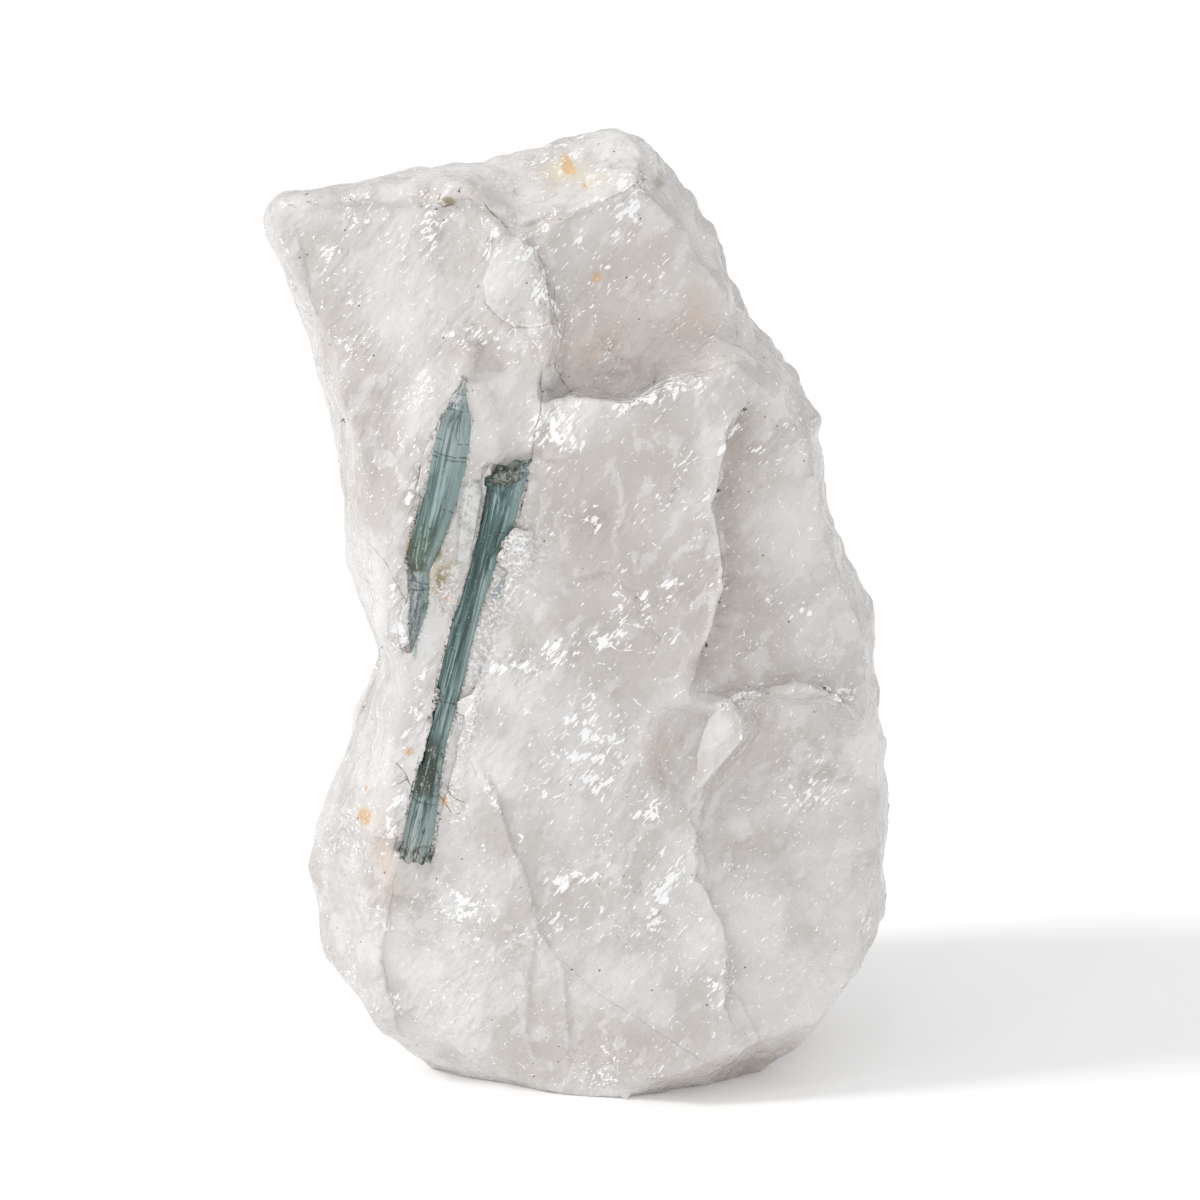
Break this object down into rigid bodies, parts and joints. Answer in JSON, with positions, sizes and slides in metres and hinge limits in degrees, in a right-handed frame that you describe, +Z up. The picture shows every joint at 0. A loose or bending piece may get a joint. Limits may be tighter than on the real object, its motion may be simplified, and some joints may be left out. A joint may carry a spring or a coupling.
{
  "type": "aquamarine in quartz specimen",
  "caption": "Upright broken block of milky quartz with slender blue-green aquamarine prisms set in its front face, cut flat below so that it stands.",
  "frame": {"origin": "middle of the bounding box in plan, on the surface that the flat cut base rests on", "axes": "+Z up along the longest extent; the broken face with the crystals looks along -Y; +X to the viewer's right"},
  "size_m": [0.1046, 0.0796, 0.1616],
  "materials": {
    "milky_quartz": "milky, glassy on broken faces",
    "aquamarine": "glassy prism faces with fine lengthwise lines"
  },
  "bodies": {
    "root": {"quartz_matrix": "milky_quartz", "aquamarine_long": "aquamarine", "aquamarine_short": "aquamarine"}
  },
  "joints": []
}
